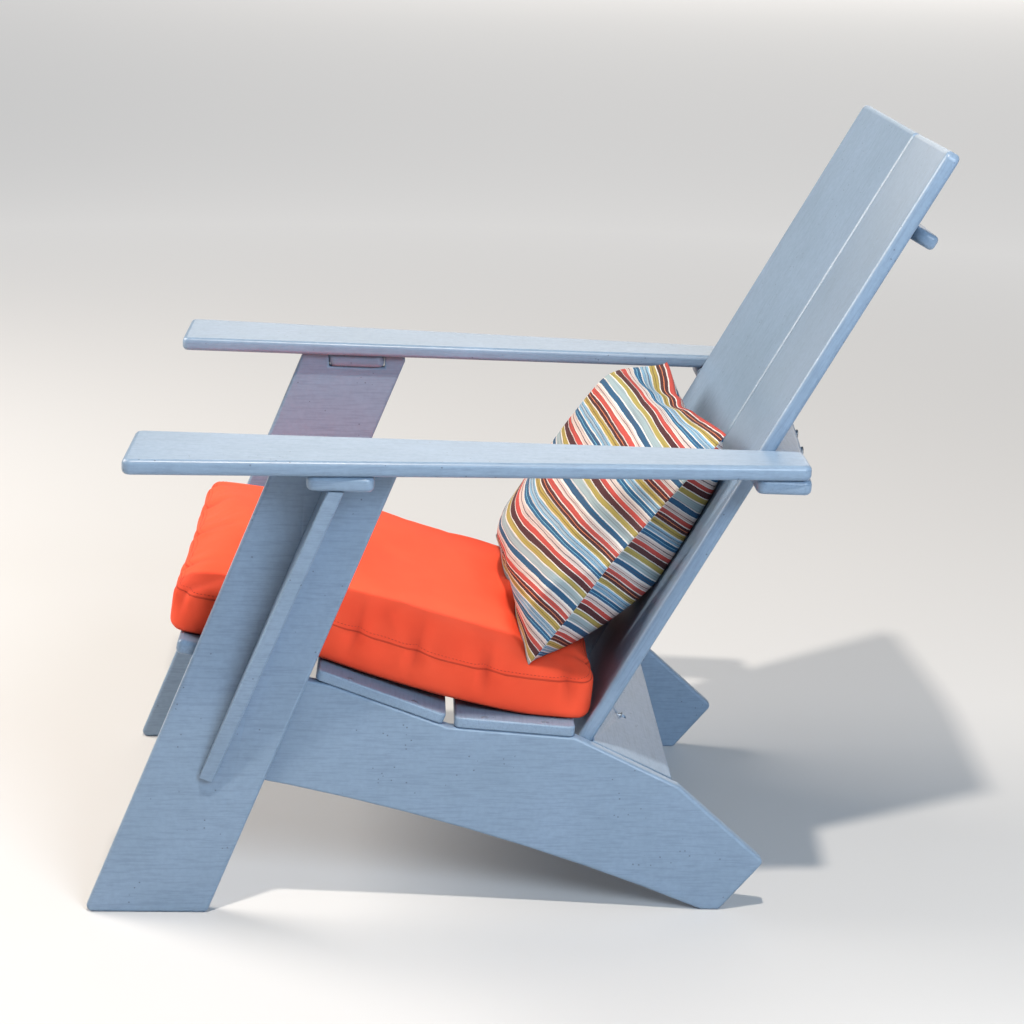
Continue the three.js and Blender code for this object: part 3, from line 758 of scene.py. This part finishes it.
def blow_up_cushion(piece, flat, bottom_rim, top_rim):
    """The blown-up cushion, still flat, with its seams 0 and BOXING above the seat."""
    settle(piece, pressure=1.2, frames=26, bending=0.6)
    p = get_points(piece.data)
    p[:, :2] -= (p[:, :2].max(0) + p[:, :2].min(0)) / 2
    p[:, :2] *= np.array([CUSHION_WIDTH, CUSHION_LENGTH]) / np.ptp(p[:, :2], axis=0)
    plan = flat[:, :2] + (p[:, :2] - flat[:, :2]) * SOFTNESS
    top_seam = p[top_rim, 2].mean()
    bottom_seam = p[bottom_rim, 2].mean()
    height = (p[:, 2] - bottom_seam) / (top_seam - bottom_seam) * BOXING
    over = np.clip(p[:, 2] - top_seam, 0, None)
    crown = (over / over.max()) ** CROWN_POWER * CROWN
    height = np.where(p[:, 2] > top_seam, BOXING + crown, height)
    height[p[:, 2] < bottom_seam] = 0
    return np.column_stack([plan, height])


def outward_from_middle(flat, rim):
    """Level unit direction away from the cushion's middle at each vertex of a rim."""
    outward = np.column_stack([flat[rim, :2], np.zeros(len(rim))])
    return outward / np.linalg.norm(outward, axis=1)[:, None]


def pucker(body, height, flat, bottom_rim, top_rim):
    """Draw the seams in and fold the cover there. Gives how deep in a fold each vertex is."""
    for rim, down in ((top_rim, -1), (bottom_rim, 1)):
        inward = -outward_from_middle(flat, rim) + (0, 0, down)
        body[rim] += inward * SEAM_DEPTH
    stations = body[top_rim]
    rng = np.random.default_rng(7)
    near_side = [np.argmin(np.abs(stations[:, 1] - y) - stations[:, 0]) for y in PUCKERS]
    others = np.arange(0, len(top_rim), OTHER_PUCKERS_EVERY)
    stray = rng.integers(-OTHER_PUCKERS_STRAY, OTHER_PUCKERS_STRAY + 1, len(others))
    others = (others + stray) % len(top_rim)
    others = others[stations[others, 0] < CUSHION_WIDTH / 2 - 0.01]    # off the near side
    fold = pucker_depth(body, stations, [*near_side, *others])
    toward = np.array([0, 0, BOXING / 2]) - body
    toward /= np.linalg.norm(toward, axis=1)[:, None]
    fold *= smooth_step(height, 0.004, 0.034)    # none at the underside
    body += toward * (fold * FOLD_DEPTH)[:, None]
    return fold


def ripple(body, height):
    """Low, uneven waves over the top panel."""
    waves = np.array([noise.noise(Vector(q * RIPPLE_SCALE + (0, 0, 3.0))) for q in body])
    body[:, 2] += waves * RIPPLE * smooth_step(height, 0.03, 0.06)


def bend_onto_seat(body):
    """Lay the flat cushion along the seat's curve."""
    place, normal = seat_curve(body[:, 1] + CUSHION_LENGTH / 2)
    place = place + normal * (body[:, 2] + SEAT_GAP)[:, None]
    flare = REAR_FLARE * smooth_step(place[:, 0], -0.09, 0.03)
    width = body[:, 0] * (1 + flare / (CUSHION_WIDTH / 2))
    return np.column_stack([width, place])


def press_under(pillow, points, height, pairs):
    """Press the hollow into the top that the pillow rests in."""
    pillow_surface = surface_of(pillow)
    press = np.zeros(len(points))
    for k in np.flatnonzero(height > BOXING * 0.8):
        below = Vector((points[k, 0], points[k, 1], 0.18))
        hit = pillow_surface.ray_cast(below, Vector((0, 0, 1)))[0]
        if hit is not None:
            press[k] = max(0.0, points[k, 2] - (hit.z - PILLOW_GAP))
    soft = spread(press, pairs, PRESS_SPREAD)
    points[:, 2] -= soft * smooth_step(height, BOXING * 0.4, BOXING)


def make_cushion(pillow):
    """Blow the cushion up flat, pucker it, bend it onto the seat and press it in."""
    piece, bottom_rim, top_rim = build_box_shell("cushion_cover")
    flat = get_points(piece.data)
    body = blow_up_cushion(piece, flat, bottom_rim, top_rim)
    height = body[:, 2].copy()
    fold = pucker(body, height, flat, bottom_rim, top_rim)
    ripple(body, height)
    points = bend_onto_seat(body)
    press_under(pillow, points, height, edge_pairs(piece.data))
    set_points(piece.data, points)
    at_seam = np.zeros(len(points))
    at_seam[top_rim] = at_seam[bottom_rim] = 1
    write_attribute(piece.data, "seam", at_seam)
    write_attribute(piece.data, "fold", np.clip(fold, 0, 1))
    crease_loops(piece.data, [top_rim, bottom_rim], amount=0.9)
    finish_soft(piece, orange_cloth, "cushion", "seat_cushion")
    make_stitches(piece, points[top_rim], outward_from_middle(flat, top_rim))


pillow = make_pillow()
make_cushion(pillow)


# ---- Stage, lights and camera -----------------------------------------------------------

def make_stage():
    """A plain pale floor, with a weak glow far off that keeps the background evenly pale."""
    reach = 40
    corners = [(-reach, -reach, 0), (reach, -reach, 0), (reach, reach, 0), (-reach, reach, 0)]
    floor = new_mesh("floor", corners, [(0, 1, 2, 3)])
    m = Nodes("pale_floor")
    away = m.vector("DISTANCE", m.object_place(), (0, 0, 0))["Value"]
    glow = m.mix(m.remap(away, 0.5, 4.5), grey(0.0), grey(0.40))
    m.shade(Base_Color=srgb(197, 199, 202), Roughness=0.8,
            Emission_Color=glow, Emission_Strength=1.0)
    floor.data.materials.append(m.material)


LAMP_AIM = (0, 0, 0.4)
# Name, direction from the aim, distance in metres, diameter in metres, watts, colour.
LAMPS = [
    ("ceiling", (0.40, -0.04, 1.0), 3.2, 0.15, 90, (1.0, 0.89, 0.76)),
    ("side_fill", (1.0, 0.55, 0.66), 3.4, 1.5, 78, (0.76, 0.88, 1.0)),
    ("front_fill", (-0.35, -1.0, 0.75), 3.4, 2.0, 124, (1.0, 0.90, 0.79)),
    ("wall_glow", (-1.0, 0.15, 0.24), 22.0, 14.0, 780, (1.0, 0.92, 0.82)),
]


def add_area_light(name, toward, distance, size, power, colour):
    light = bpy.data.lights.new(name, "AREA")
    light.shape = "DISK"
    light.size = size
    light.energy = power
    light.color = colour
    lamp = bpy.data.objects.new(name, light)
    lamp.visible_camera = False    # the lamps light the chair but aren't seen
    scene.collection.objects.link(lamp)
    direction = Vector(toward).normalized()
    lamp.location = Vector(LAMP_AIM) + direction * distance
    lamp.rotation_mode = "QUATERNION"
    lamp.rotation_quaternion = direction.to_track_quat("Z", "Y")


def make_lights():
    world = bpy.data.worlds.new("studio")
    world.use_nodes = True
    background = world.node_tree.nodes["Background"].inputs
    background["Color"].default_value = (0.97, 0.985, 1.0, 1.0)
    background["Strength"].default_value = 0.18
    scene.world = world
    for lamp in LAMPS:
        add_area_light(*lamp)


def make_camera():
    """The photograph's view, solved from the chair's straight edges."""
    camera = bpy.data.objects.new("camera", bpy.data.cameras.new("camera"))
    scene.collection.objects.link(camera)
    camera.data.sensor_width = 36
    camera.data.lens = 77.3
    camera.location = (2.4519, -0.1076, 1.1128)
    yaw, pitch, roll = 0.0463, 0.2877, 0.0287
    forward = Vector((-math.cos(pitch) * math.cos(yaw),
                      math.cos(pitch) * math.sin(yaw),
                      -math.sin(pitch)))
    camera.rotation_mode = "QUATERNION"
    camera.rotation_quaternion = (forward.to_track_quat("-Z", "Y")
                                  @ Matrix.Rotation(roll, 3, "Z").to_quaternion())
    scene.camera = camera


make_stage()
make_lights()
make_camera()
